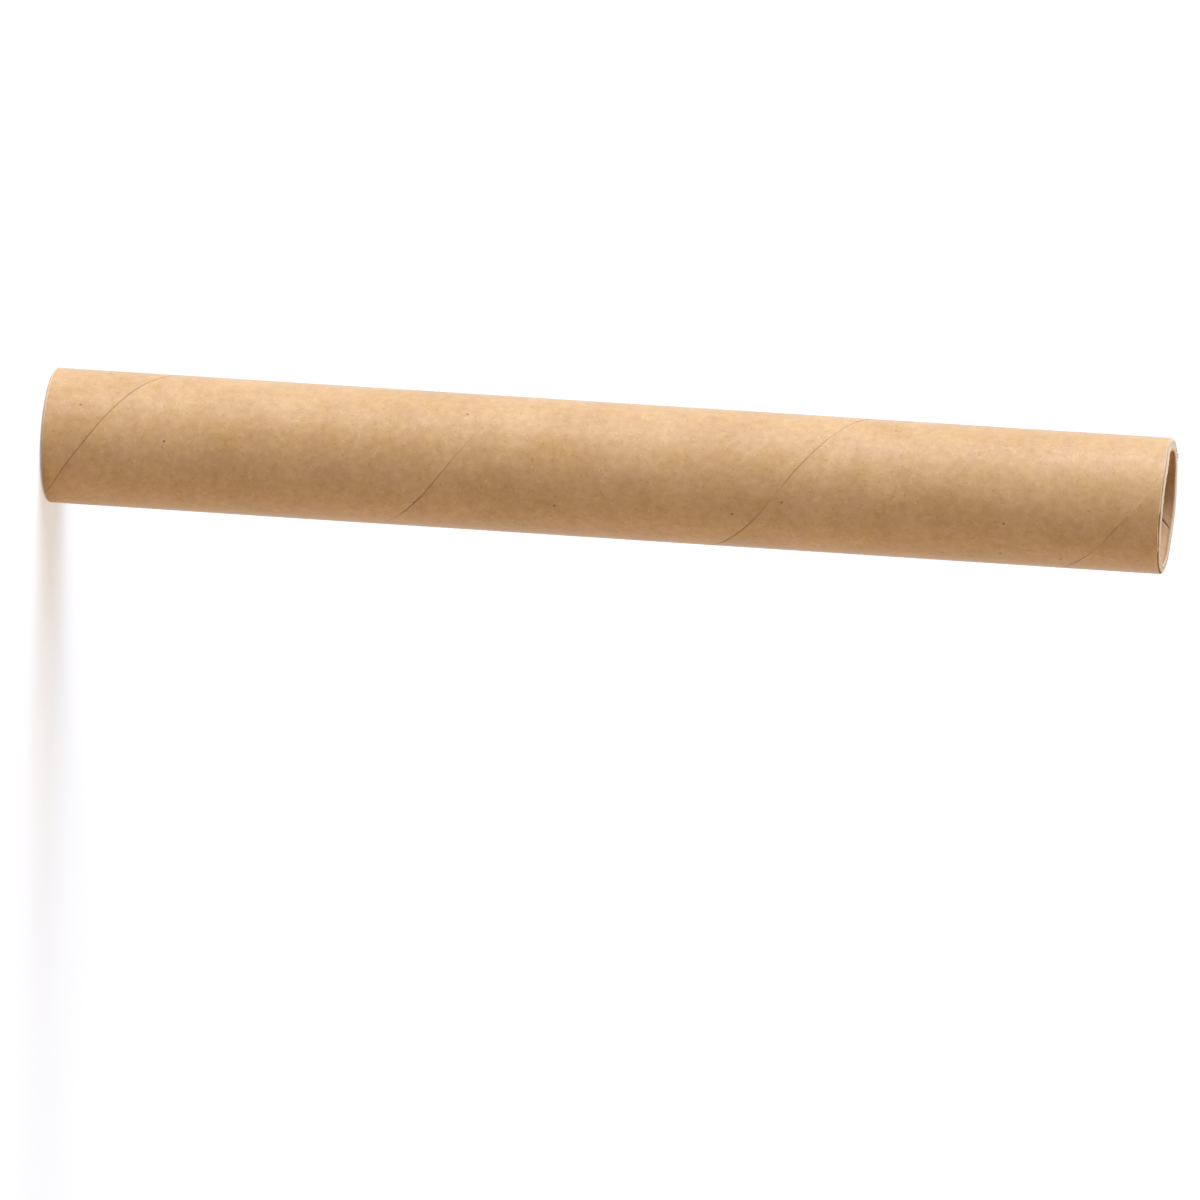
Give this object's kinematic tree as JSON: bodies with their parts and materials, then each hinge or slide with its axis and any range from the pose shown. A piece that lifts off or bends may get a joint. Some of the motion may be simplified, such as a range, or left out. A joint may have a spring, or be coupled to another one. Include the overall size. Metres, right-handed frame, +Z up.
{
  "type": "cardboard mailing tube",
  "caption": "Spirally wound kraft cardboard mailing tube, open at both ends, for posting or storing rolled paper.",
  "frame": {"origin": "centre of the bottom cut end, on the surface that the tube stands on", "axes": "+Z up along the bore to the top cut end; -Y is the side that faces the picture's camera"},
  "size_m": [0.0584, 0.0584, 0.485],
  "materials": {
    "kraft_board": "matte kraft paper face with fine fibres, cut edges slightly crushed"
  },
  "bodies": {
    "root": {"tube": "kraft_board"}
  },
  "joints": []
}
